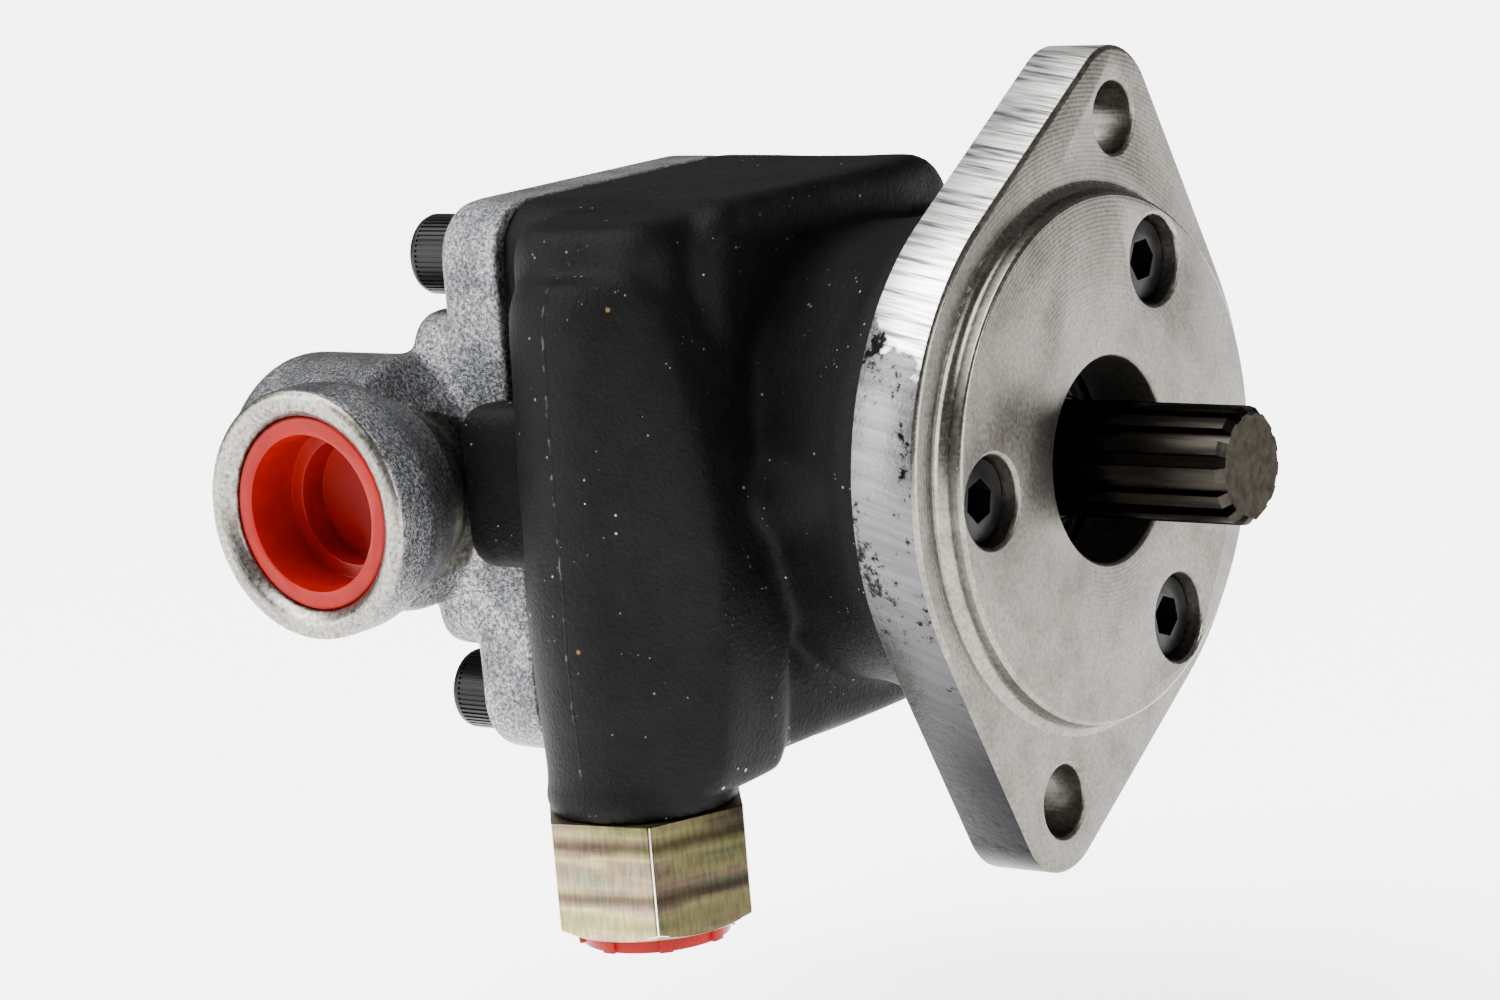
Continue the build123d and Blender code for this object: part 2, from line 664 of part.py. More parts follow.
# ---- flange_screws and cover_screws: M8 socket-head screws ----
flange_screw_spots = [(flange_screw_circle / 2 * cos(radians(flange_screw_start + 120 * i)),
                       flange_screw_circle / 2 * sin(radians(flange_screw_start + 120 * i)))
                      for i in range(3)]
for name, seat, outward, grip, places in (
        ("flange_screws", head_seat, 1, head_seat - flange_back + flange_screw_grip - 3,
         flange_screw_spots),
        ("cover_screws", cover_back, -1, cover_thickness + cover_screw_grip - 2.5,
         cover_screw_spots)):
    top = seat + outward * head_height
    with BuildPart() as screws:
        with BuildSketch(Plane.YZ.offset(seat)):
            with Locations(*places):
                Circle(head_d / 2)
        extrude(amount=outward * head_height)
        with BuildSketch(Plane.YZ.offset(seat)):
            with Locations(*places):
                Circle(screw_d / 2)
        extrude(amount=-outward * grip)
        rims = screws.edges().filter_by(GeomType.CIRCLE)
        chamfer(rims.filter_by(lambda e: abs(e.arc_center.X - top) < 0.01), 0.7)
        with BuildSketch(Plane.YZ.offset(top)):
            with Locations(*places):
                RegularPolygon(socket_af / 2, 6, major_radius=False)
        extrude(amount=-outward * socket_depth, mode=Mode.SUBTRACT)
    finish(screws, name)

# ---- port_adapter: hexagonal union screwed into the column ----
with BuildPart() as port_adapter:
    with BuildSketch(Plane.XY.offset(adapter_bottom)):
        with Locations((column_x, column_y)):
            RegularPolygon(adapter_af / 2, 6, major_radius=False, rotation=adapter_turn)
    extrude(amount=adapter_height)
    with BuildSketch(Plane.XY.offset(adapter_bottom)):
        with Locations((column_x, column_y)):
            Circle(adapter_af / 2 - 0.2)
    extrude(amount=adapter_height, taper=-62, mode=Mode.INTERSECT)
    with BuildSketch(Plane.XY.offset(column_foot)):
        with Locations((column_x, column_y)):
            Circle(adapter_stud_radius)
    extrude(amount=adapter_stud_length)
    with BuildSketch(Plane.XY.offset(adapter_bottom)):
        with Locations((column_x, column_y)):
            Circle(adapter_bore_radius)
    extrude(amount=adapter_height + adapter_stud_length, mode=Mode.SUBTRACT)
    with BuildSketch(Plane.XY.offset(adapter_bottom)):
        with Locations((column_x, column_y)):
            Circle(adapter_socket_radius)
    extrude(amount=adapter_socket_depth, mode=Mode.SUBTRACT)
    mouth = port_adapter.faces().sort_by(Axis.Z)[0].edges()
    chamfer(mouth.filter_by(GeomType.CIRCLE).sort_by(SortBy.LENGTH)[0], 0.8)
finish(port_adapter, "port_adapter")

# ---- inlet_plug: hollow cup pressed into the rear port ----
inlet_plug_radius = port_bore_radius - plug_fit
inlet_plug_length = port_depth - plug_recess - 0.8
with BuildPart() as inlet_plug:
    with BuildSketch(Plane.XZ.offset(port_face - plug_recess)):
        with Locations((port_x, port_z)):
            Circle(inlet_plug_radius)
    extrude(amount=-inlet_plug_length)
    with BuildSketch(Plane.XZ.offset(port_face - plug_recess)):
        with Locations((port_x, port_z)):
            Circle(inlet_plug_radius - plug_wall - 0.8)
    extrude(amount=-inlet_plug_length + 7.0, mode=Mode.SUBTRACT)
    with BuildSketch(Plane.XZ.offset(port_face - plug_recess)):
        with Locations((port_x, port_z)):
            Circle(inlet_plug_radius - plug_wall - 3.2)
    extrude(amount=-inlet_plug_length + plug_wall, mode=Mode.SUBTRACT)
    lip = inlet_plug.faces().sort_by(Axis.Y)[0].edges()
    fillet(lip.sort_by(SortBy.LENGTH)[-1], 0.7)
finish(inlet_plug, "inlet_plug")

# ---- outlet_plug: flanged cap pushed up into the adapter ----
outlet_plug_radius = adapter_socket_radius - plug_fit
cap_rim_radius = adapter_socket_radius + 2.4
with BuildPart() as outlet_plug:
    with BuildSketch(Plane.XY.offset(adapter_bottom)):
        with Locations((column_x, column_y)):
            Circle(cap_rim_radius)
            with PolarLocations(cap_rim_radius, 8):
                Rectangle(1.4, 2.2)
    extrude(amount=-cap_rim_height)
    with BuildSketch(Plane.XY.offset(adapter_bottom - 0.5)):
        with Locations((column_x, column_y)):
            Circle(outlet_plug_radius)
    extrude(amount=adapter_socket_depth - 0.5)
    with BuildSketch(Plane.XY.offset(adapter_bottom + 0.5)):
        with Locations((column_x, column_y)):
            Circle(outlet_plug_radius - plug_wall + 0.6)
    extrude(amount=adapter_socket_depth, mode=Mode.SUBTRACT)
finish(outlet_plug, "outlet_plug")
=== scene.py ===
from math import cos, degrees, hypot, pi, radians, sin

import bpy
from mathutils import Matrix, Vector


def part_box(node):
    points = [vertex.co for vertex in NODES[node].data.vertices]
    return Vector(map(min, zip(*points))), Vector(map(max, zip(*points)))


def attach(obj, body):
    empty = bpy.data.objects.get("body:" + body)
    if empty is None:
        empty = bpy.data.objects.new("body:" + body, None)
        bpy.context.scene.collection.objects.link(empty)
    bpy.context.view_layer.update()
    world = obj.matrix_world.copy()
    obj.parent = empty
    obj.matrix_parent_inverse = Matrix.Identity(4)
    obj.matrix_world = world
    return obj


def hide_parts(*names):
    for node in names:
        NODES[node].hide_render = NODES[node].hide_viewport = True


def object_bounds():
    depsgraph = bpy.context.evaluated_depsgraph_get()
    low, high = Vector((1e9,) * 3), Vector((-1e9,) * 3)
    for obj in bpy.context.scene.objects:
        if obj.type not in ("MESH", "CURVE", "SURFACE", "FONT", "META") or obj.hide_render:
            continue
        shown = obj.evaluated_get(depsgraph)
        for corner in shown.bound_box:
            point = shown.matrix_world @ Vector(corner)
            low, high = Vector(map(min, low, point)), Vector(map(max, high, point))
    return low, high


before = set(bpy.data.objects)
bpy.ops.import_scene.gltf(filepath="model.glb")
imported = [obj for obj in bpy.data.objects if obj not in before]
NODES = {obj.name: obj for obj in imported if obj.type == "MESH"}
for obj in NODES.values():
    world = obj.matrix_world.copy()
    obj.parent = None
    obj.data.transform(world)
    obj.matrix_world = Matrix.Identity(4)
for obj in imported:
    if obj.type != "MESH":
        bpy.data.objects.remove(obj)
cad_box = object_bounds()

MM = 0.001

# Places that pieces share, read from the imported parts, in metres.
body_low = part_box("pump_body")[0]
cover_low, cover_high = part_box("rear_cover")
adapter_low, adapter_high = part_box("port_adapter")
pocket_low, pocket_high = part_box("outer_rotor")
inlet_low, inlet_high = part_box("inlet_plug")
flange_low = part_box("mounting_flange")[0]
JOINT_X = cover_high.x
FLANGE_BACK = flange_low.x
COLUMN_X = (adapter_low.x + adapter_high.x) / 2
COLUMN_Y = (adapter_low.y + adapter_high.y) / 2
COLUMN_FOOT = body_low.z
PORT_X = (inlet_low.x + inlet_high.x) / 2
PORT_Z = (inlet_low.z + inlet_high.z) / 2
PORT_FACE = cover_low.y
ROTOR_Y = (pocket_low.y + pocket_high.y) / 2
PLUG_TRAVEL = 26 * MM     # room under the adapter for its plug to slide out

# Radii that part one finish from the next, in metres.
FLANGE_WAIST = 43 * MM    # the flange's rim lies outside this, its holes and pilot inside
COVE_INNER = 39 * MM      # the cove round the pilot
COVE_OUTER = 48 * MM
EAR_HOLE = 7 * MM         # a bolt hole and its edge, round EAR_PLACE
EAR_PLACE = Vector((13.77 * MM, 51.38 * MM))
PORT_BORE = 16.4 * MM     # the machined mouth of the rear port
PORT_RING = 21 * MM
ADAPTER_CORNER = 16.4 * MM


# ---------------------------------------------------------------- shader helpers

def colour(hex_code):
    """sRGB hex such as "#c8c4ba" as the linear colour that a shader wants."""
    parts = [int(hex_code[i:i + 2], 16) / 255 for i in (1, 3, 5)]
    linear = [c / 12.92 if c <= 0.04045 else ((c + 0.055) / 1.055) ** 2.4 for c in parts]
    return (*linear, 1.0)


def feed(tree, node, inputs):
    """Set or link several inputs of a shader node, by socket name or number."""
    for name, value in inputs.items():
        if isinstance(value, bpy.types.Node):
            tree.links.new(value.outputs[0], node.inputs[name])
        elif isinstance(value, bpy.types.NodeSocket):
            tree.links.new(value, node.inputs[name])
        else:
            node.inputs[name].default_value = value


def add(tree, kind, inputs=None, stops=None, **settings):
    """Add one shader node, with its settings, its ramp stops and its input values or links."""
    made = tree.nodes.new("ShaderNode" + kind)
    for name, value in settings.items():
        setattr(made, name, value)
    feed(tree, made, inputs or {})
    if stops:
        ramp = made.color_ramp.elements
        while len(ramp) < len(stops):
            ramp.new(0.5)
        for element, (place, tone) in zip(ramp, stops):
            element.position = place
            element.color = tone if isinstance(tone, tuple) else (tone, tone, tone, 1.0)
    return made


def new_material(name):
    """An empty node material, with its tree, its object coordinates and its surface shader."""
    made = bpy.data.materials.new(name)
    made.use_nodes = True
    tree = made.node_tree
    tree.nodes.clear()
    surface = add(tree, "BsdfPrincipled")
    add(tree, "OutputMaterial", {"Surface": surface})
    place = add(tree, "TexCoord").outputs["Object"]
    return made, tree, place, surface


def per_mm(size_mm):
    """Texture scale whose pattern repeats about every size_mm."""
    return 1.0 / (size_mm * MM)


def wave_mm(pitch_mm):
    """Scale of a Wave texture whose bands are pitch_mm apart."""
    return 2 * pi / (20 * pitch_mm * MM)


# ---------------------------------------------------------------- materials

def make_black_paint():
    """Sand-cast iron under one coat of matt black paint: a fine sandy skin with pale dust
    specks of two sizes, a few ochre ones, a pale mark along raised edges that is partly a
    chalky rub and partly a painted highlight, and a faint, broken parting line down the column."""
    made, tree, place, surface = new_material("black_painted_sand_cast_iron")
    grain = add(tree, "TexNoise", {"Vector": place, "Scale": per_mm(0.8), "Detail": 4.0,
                                   "Roughness": 0.65})
    lumps = add(tree, "TexNoise", {"Vector": place, "Scale": per_mm(4.5), "Detail": 4.0})
    speck = add(tree, "TexVoronoi", {"Vector": place, "Scale": per_mm(2.6)}, feature="F1")
    speck_size = add(tree, "TexNoise", {"Vector": place, "Scale": per_mm(9), "Detail": 2.0})
    speck_edge = add(tree, "MapRange", {"Value": speck_size, "From Min": 0.52, "From Max": 0.72,
                                        "To Min": 0.0, "To Max": 0.13})
    speck_mask = add(tree, "Math", {0: speck.outputs["Distance"], 1: speck_edge},
                     operation="LESS_THAN")
    dust = add(tree, "TexVoronoi", {"Vector": place, "Scale": per_mm(1.5)}, feature="F1")
    dust_size = add(tree, "TexNoise", {"Vector": place, "Scale": per_mm(5), "Detail": 3.0})
    dust_edge = add(tree, "MapRange", {"Value": dust_size, "From Min": 0.5, "From Max": 0.7,
                                       "To Min": 0.0, "To Max": 0.17})
    dust_mask = add(tree, "Math", {0: dust.outputs["Distance"], 1: dust_edge},
                    operation="LESS_THAN")
    ochre = add(tree, "TexVoronoi", {"Vector": place, "Scale": per_mm(16)}, feature="F1")
    ochre_mask = add(tree, "ValToRGB", {"Fac": ochre.outputs["Distance"]},
                     stops=[(0.018, 1.0), (0.026, 0.0)])
    # pale raised edges: partly a chalky rub, partly a painted highlight where the edges catch the
    # light
    edge = add(tree, "NewGeometry").outputs["Pointiness"]
    edge_rub_and_highlight = add(tree, "ValToRGB", {"Fac": edge}, stops=[(0.515, 0.0), (0.56, 1.0)])
    rub_and_highlight_patch = add(tree, "ValToRGB", {"Fac": lumps}, stops=[(0.5, 0.0), (0.7, 0.45)])
    rub_and_highlight = add(tree, "Math", {0: edge_rub_and_highlight, 1: rub_and_highlight_patch}, operation="MULTIPLY")
    paint = add(tree, "ValToRGB", {"Fac": lumps},
                stops=[(0.3, colour("#020202")), (0.7, colour("#060606"))])
    chalky_and_highlit = add(tree, "MixRGB", {"Fac": rub_and_highlight, "Color1": paint, "Color2": colour("#2a2a2c")})
    axes = add(tree, "SeparateXYZ", {"Vector": place})
    stray = add(tree, "TexNoise", {"Vector": place, "Scale": per_mm(2.2), "Detail": 3.0})
    drift = add(tree, "Math", {0: stray, 1: 1.6 * MM, 2: -0.8 * MM - COLUMN_X},
                operation="MULTIPLY_ADD")
    off = add(tree, "Math", {0: axes.outputs["X"], 1: drift}, operation="ADD")
    off = add(tree, "Math", {0: off}, operation="ABSOLUTE")
    seam = add(tree, "MapRange", {"Value": off, "From Min": 0.08 * MM, "From Max": 0.28 * MM,
                                  "To Min": 1.0, "To Max": 0.0})
    front = add(tree, "Math", {0: axes.outputs["Y"], 1: COLUMN_Y - 9 * MM},
                operation="LESS_THAN")
    broken = add(tree, "ValToRGB", {"Fac": stray}, stops=[(0.56, 0.0), (0.64, 1.0)])
    seam = add(tree, "Math", {0: seam, 1: front}, operation="MULTIPLY")
    scuffed = add(tree, "Math", {0: seam, 1: broken}, operation="MULTIPLY")
    seamed = add(tree, "MixRGB", {"Fac": scuffed, "Color1": chalky_and_highlit,
                                  "Color2": colour("#38393b")})
    dusty = add(tree, "MixRGB", {"Fac": speck_mask, "Color1": seamed,
                                 "Color2": colour("#7c7d80")})
    dusty = add(tree, "MixRGB", {"Fac": dust_mask, "Color1": dusty,
                                 "Color2": colour("#4e4f51")})
    final = add(tree, "MixRGB", {"Fac": ochre_mask, "Color1": dusty,
                                 "Color2": colour("#5c4424")})
    rough = add(tree, "MapRange", {"Value": grain, "To Min": 0.5, "To Max": 0.66})
    coarse = add(tree, "Bump", {"Height": lumps, "Strength": 0.3, "Distance": 0.5 * MM})
    ridge = add(tree, "Bump", {"Height": seam, "Strength": 0.5, "Distance": 0.2 * MM,
                               "Normal": coarse})
    fine = add(tree, "Bump", {"Height": grain, "Strength": 0.9, "Distance": 0.3 * MM,
                              "Normal": ridge})
    feed(tree, surface, {"Base Color": final, "Roughness": rough, "Normal": fine,
                         "Specular IOR Level": 0.07})
    return made


def make_cast_aluminium():
    """Die-cast aluminium as it left the mould and was shot-blasted: dull grey with a sugary
    grain, darker where grime has settled into it; its rear end, away from the joint, is
    painted darker as shade."""
    made, tree, place, surface = new_material("cast_aluminium_skin")
    grain = add(tree, "TexNoise", {"Vector": place, "Scale": per_mm(0.6), "Detail": 3.0,
                                   "Roughness": 0.8})
    cloud = add(tree, "TexNoise", {"Vector": place, "Scale": per_mm(9), "Detail": 5.0})
    tone = add(tree, "ValToRGB", {"Fac": grain},
               stops=[(0.36, colour("#3e3f41")), (0.5, colour("#737476")),
                      (0.64, colour("#adaeb0"))])
    grime = add(tree, "ValToRGB", {"Fac": cloud},
                stops=[(0.36, colour("#a4a5a7")), (0.6, colour("#ffffff"))])
    shade = add(tree, "MixRGB", {"Fac": 0.8, "Color1": tone, "Color2": grime},
                blend_type="MULTIPLY")
    # painted shade: the cover darkens to half its tone from 12 to 19 mm behind the joint
    back = add(tree, "SeparateXYZ", {"Vector": place}).outputs["X"]
    painted_shade = add(tree, "MapRange", {"Value": back, "From Min": JOINT_X - 19 * MM,
                                  "From Max": JOINT_X - 12 * MM, "To Min": 0.5})
    shade = add(tree, "MixRGB", {"Fac": 1.0, "Color1": shade, "Color2": painted_shade},
                blend_type="MULTIPLY")
    rough = add(tree, "MapRange", {"Value": grain, "To Min": 0.5, "To Max": 0.34})
    bump = add(tree, "Bump", {"Height": grain, "Strength": 1.0, "Distance": 0.3 * MM})
    feed(tree, surface, {"Base Color": shade, "Metallic": 0.9, "Roughness": rough,
                         "Normal": bump})
    return made


def make_turned_aluminium(name, centre, axis, pitch, dark, light, polish):
    """Aluminium faced on a lathe: bright, warm and satin, with faint rings round its axis and
    a fine mottle where the cast grain shows through. Polish is its lowest roughness."""
    made, tree, place, surface = new_material(name)
    grain = add(tree, "TexNoise", {"Vector": place, "Scale": per_mm(0.8), "Detail": 4.0,
                                   "Roughness": 0.65})
    cloud = add(tree, "TexNoise", {"Vector": place, "Scale": per_mm(7), "Detail": 3.0})
    centred = add(tree, "Mapping", {"Vector": place, "Location": [-c for c in centre]})
    rings = add(tree, "TexWave", {"Vector": centred, "Scale": wave_mm(pitch),
                                  "Distortion": 0.0},
                wave_type="RINGS", rings_direction=axis, wave_profile="SIN")
    tone = add(tree, "ValToRGB", {"Fac": grain},
               stops=[(0.3, colour(dark)), (0.7, colour(light))])
    soil = add(tree, "ValToRGB", {"Fac": cloud},
               stops=[(0.3, colour("#b9b5ae")), (0.55, colour("#ffffff"))])
    shade = add(tree, "MixRGB", {"Fac": 0.6, "Color1": tone, "Color2": soil},
                blend_type="MULTIPLY")
    rough = add(tree, "MapRange", {"Value": grain, "To Min": polish, "To Max": polish + 0.16})
    turned = add(tree, "Bump", {"Height": rings, "Strength": 0.2, "Distance": 0.05 * MM})
    bump = add(tree, "Bump", {"Height": grain, "Strength": 0.12, "Distance": 0.05 * MM,
                              "Normal": turned})
    feed(tree, surface, {"Base Color": shade, "Metallic": 1.0, "Roughness": rough,
                         "Normal": bump})
    return made


def make_flange_rim():
    """Edge of the flange, left as sawn: ragged ridges across its thickness on the upper
    flank, bright partly as sawn metal and partly as a painted highlight, and below them a
    smooth, brushed skin with dark pits, painted darker towards the foot as shade."""
    made, tree, place, surface = new_material("sawn_aluminium_rim")
    axes = add(tree, "SeparateXYZ", {"Vector": place})
    run = add(tree, "VectorMath", {0: place, 1: (0.2, 0.66, 0.75)},
              operation="DOT_PRODUCT").outputs["Value"]
    thin = add(tree, "Math", {0: axes.outputs["X"], 1: 0.05}, operation="MULTIPLY")
    across = add(tree, "CombineXYZ", {"X": run, "Y": thin})
    saw = add(tree, "TexNoise", {"Vector": across, "Scale": per_mm(1.0), "Detail": 3.0,
                                 "Roughness": 0.6})
    wobble = add(tree, "TexNoise", {"Vector": place, "Scale": per_mm(6), "Detail": 3.0})
    ragged = add(tree, "Math", {0: wobble, 1: 0.012, 2: axes.outputs["Z"]},
                 operation="MULTIPLY_ADD")
    slanted = add(tree, "Math", {0: axes.outputs["X"], 1: 0.5, 2: ragged},
                  operation="MULTIPLY_ADD")
    # the sawn ridges show on the upper flank only, coloured bright there partly as a painted
    # highlight
    sawn_lit_upper = add(tree, "MapRange", {"Value": slanted, "From Min": 0.0270, "From Max": 0.0278})
    sawn = add(tree, "ValToRGB", {"Fac": saw},
               stops=[(0.36, colour("#5d5d5e")), (0.48, colour("#c4c3c0")),
                      (0.58, colour("#f4f3f0"))])
    pits = add(tree, "TexNoise", {"Vector": place, "Scale": per_mm(1.5), "Detail": 4.0,
                                  "Roughness": 0.7})
    patch = add(tree, "TexNoise", {"Vector": place, "Scale": per_mm(11), "Detail": 3.0})
    deep = add(tree, "Math", {0: pits, 1: patch}, operation="MULTIPLY")
    pitted = add(tree, "ValToRGB", {"Fac": deep},
                 stops=[(0.155, colour("#33322f")), (0.2, colour("#ffffff"))])
    # painted shade: the lower skin darkens towards the foot of the rim
    painted_light = add(tree, "MapRange", {"Value": axes.outputs["Z"], "From Min": -0.042,
                                  "From Max": 0.004})
    skin = add(tree, "MixRGB", {"Fac": painted_light, "Color1": colour("#1a1a1c"),
                                "Color2": colour("#666668")})
    brushed = add(tree, "ValToRGB", {"Fac": saw}, stops=[(0.3, 0.6), (0.7, 1.0)])
    skin = add(tree, "MixRGB", {"Fac": 1.0, "Color1": skin, "Color2": pitted},
               blend_type="MULTIPLY")
    skin = add(tree, "MixRGB", {"Fac": 1.0, "Color1": skin, "Color2": brushed},
               blend_type="MULTIPLY")
    shade = add(tree, "MixRGB", {"Fac": sawn_lit_upper, "Color1": skin, "Color2": sawn})
    relief = add(tree, "MixRGB", {"Fac": sawn_lit_upper, "Color1": pits, "Color2": saw})
    bump = add(tree, "Bump", {"Height": relief, "Strength": 0.5, "Distance": 0.2 * MM})
    feed(tree, surface, {"Base Color": shade, "Metallic": 1.0, "Roughness": 0.34,
                         "Normal": bump})
    return made


def make_ground_steel():
    """Hardened and ground shaft steel with a film of preserving oil: very dark, warm and
    glossy, with streaks along the teeth and faint turning rings on its end."""
    made, tree, place, surface = new_material("oiled_ground_steel")
    streak = add(tree, "Mapping", {"Vector": place, "Scale": (0.12, 1.0, 1.0)})
    film = add(tree, "TexNoise", {"Vector": streak, "Scale": per_mm(1.4), "Detail": 4.0})
    tone = add(tree, "ValToRGB", {"Fac": film},
               stops=[(0.3, colour("#1e1c19")), (0.7, colour("#2c2925"))])
    rings = add(tree, "TexWave", {"Vector": place, "Scale": wave_mm(0.9)},
                wave_type="RINGS", rings_direction="X")
    rough = add(tree, "MapRange", {"Value": film, "To Min": 0.22, "To Max": 0.32})
    bump = add(tree, "Bump", {"Height": rings, "Strength": 0.16, "Distance": 0.05 * MM})
    feed(tree, surface, {"Base Color": tone, "Metallic": 1.0, "Roughness": rough,
                         "Specular Tint": colour("#b8b8b8"), "Normal": bump})
    return made


def make_plain_steel(name, dark, light, roughness, grain_mm=1.2):
    """A machined steel part: one family of tones, lightly clouded, with a satin surface."""
    made, tree, place, surface = new_material(name)
    cloud = add(tree, "TexNoise", {"Vector": place, "Scale": per_mm(grain_mm), "Detail": 4.0})
    tone = add(tree, "ValToRGB", {"Fac": cloud},
               stops=[(0.3, colour(dark)), (0.7, colour(light))])
    rough = add(tree, "MapRange", {"Value": cloud, "To Min": roughness - 0.07,
                                   "To Max": roughness + 0.07})
    bump = add(tree, "Bump", {"Height": cloud, "Strength": 0.15, "Distance": 0.05 * MM})
    feed(tree, surface, {"Base Color": tone, "Metallic": 1.0, "Roughness": rough,
                         "Normal": bump})
    return made


def make_black_oxide():
    """Black-oxide screw steel, thinly oiled: near black, with a soft sheen on the knurl."""
    made, tree, place, surface = new_material("black_oxide_steel")
    cloud = add(tree, "TexNoise", {"Vector": place, "Scale": per_mm(1.0), "Detail": 3.0})
    tone = add(tree, "ValToRGB", {"Fac": cloud},
               stops=[(0.3, colour("#060606")), (0.7, colour("#0f0f10"))])
    rough = add(tree, "MapRange", {"Value": cloud, "To Min": 0.3, "To Max": 0.45})
    feed(tree, surface, {"Base Color": tone, "Metallic": 0.5, "Roughness": rough,
                         "Specular IOR Level": 0.2})
    return made


def make_yellow_zinc():
    """Zinc-plated steel with a yellow chromate: straw colour that drifts to green and rose, in
    level bands where the hexagon bar was rolled. One flat is painted dark as shade."""
    made, tree, place, surface = new_material("yellow_zinc_plated_steel")
    axes = add(tree, "SeparateXYZ", {"Vector": place})
    level = add(tree, "Mapping", {"Vector": place, "Scale": (0.2, 0.2, 1.0)})
    drift = add(tree, "TexNoise", {"Vector": level, "Scale": per_mm(5), "Detail": 3.0})
    film = add(tree, "ValToRGB", {"Fac": drift},
               stops=[(0.34, colour("#77856a")), (0.43, colour("#a29a68")),
                      (0.52, colour("#afa474")), (0.6, colour("#97806e")),
                      (0.68, colour("#7f8a6c"))])
    wander = add(tree, "Math", {0: drift, 1: 0.0012, 2: axes.outputs["Z"]},
                 operation="MULTIPLY_ADD")
    band = add(tree, "Math", {0: wander, 1: 2 * pi / (8.2 * MM)}, operation="MULTIPLY")
    wave = add(tree, "Math", {0: band}, operation="SINE")
    height = add(tree, "MapRange", {"Value": wave, "From Min": -1.0, "From Max": 1.0})
    bands = add(tree, "ValToRGB", {"Fac": height},
                stops=[(0.0, 0.3), (0.1, 0.55), (0.4, 1.0), (1.0, 0.78)])
    # the flat painted dark as shade faces 20 degrees to the port side of the drive axis
    facing = (cos(radians(-20)), sin(radians(-20)), 0)
    reach = add(tree, "VectorMath", {0: place, 1: facing},
                operation="DOT_PRODUCT").outputs["Value"]
    flat = COLUMN_X * facing[0] + COLUMN_Y * facing[1]
    painted_shade = add(tree, "MapRange", {"Value": reach, "From Min": flat + 14.5 * MM,
                                  "From Max": flat + 14.8 * MM, "To Min": 0.85,
                                  "To Max": 0.15})
    bands = add(tree, "Math", {0: bands, 1: painted_shade}, operation="MULTIPLY")
    shade = add(tree, "MixRGB", {"Fac": 1.0, "Color1": film, "Color2": bands},
                blend_type="MULTIPLY")
    scratch = add(tree, "Mapping", {"Vector": place, "Scale": (0.15, 0.15, 1.0)})
    fine = add(tree, "TexNoise", {"Vector": scratch, "Scale": per_mm(0.5), "Detail": 3.0})
    upright = add(tree, "Mapping", {"Vector": place, "Scale": (1.0, 1.0, 0.2)})
    streak = add(tree, "TexNoise", {"Vector": upright, "Scale": per_mm(0.6), "Detail": 3.0})
    streaks = add(tree, "ValToRGB", {"Fac": streak}, stops=[(0.38, 0.72), (0.6, 1.0)])
    shade = add(tree, "MixRGB", {"Fac": 1.0, "Color1": shade, "Color2": streaks},
                blend_type="MULTIPLY")
    bump = add(tree, "Bump", {"Height": fine, "Strength": 0.25, "Distance": 0.05 * MM})
    rough = add(tree, "MapRange", {"Value": fine, "To Min": 0.24, "To Max": 0.4})
    feed(tree, surface, {"Base Color": shade, "Metallic": 1.0, "Roughness": rough,
                         "Normal": bump})
    return made


def make_red_plastic():
    """Moulded polyethylene: glossy orange-red that glows a little where it is thin, with
    slight flow marks."""
    made, tree, place, surface = new_material("red_moulded_polyethylene")
    flow = add(tree, "TexNoise", {"Vector": place, "Scale": per_mm(6), "Detail": 3.0,
                                  "Distortion": 0.8})
    tone = add(tree, "ValToRGB", {"Fac": flow},
               stops=[(0.3, colour("#6c0200")), (0.7, colour("#7c0500"))])
    rough = add(tree, "MapRange", {"Value": flow, "To Min": 0.24, "To Max": 0.36})
    bump = add(tree, "Bump", {"Height": flow, "Strength": 0.1, "Distance": 0.2 * MM})
    feed(tree, surface, {"Base Color": tone, "Roughness": rough, "Normal": bump,
                         "IOR": 1.51, "Specular IOR Level": 0.1, "Subsurface Weight": 0.05,
                         "Subsurface Radius": (0.9 * MM, 0.25 * MM, 0.1 * MM),
                         "Subsurface Scale": 1.0})
    return made


def make_rubber():
    """Nitrile rubber: soft black with a faint bloom."""
    made, tree, place, surface = new_material("nitrile_rubber")
    bloom = add(tree, "TexNoise", {"Vector": place, "Scale": per_mm(2), "Detail": 3.0})
    tone = add(tree, "ValToRGB", {"Fac": bloom},
               stops=[(0.3, colour("#141414")), (0.7, colour("#232322"))])
    feed(tree, surface, {"Base Color": tone, "Roughness": 0.62})
    return made


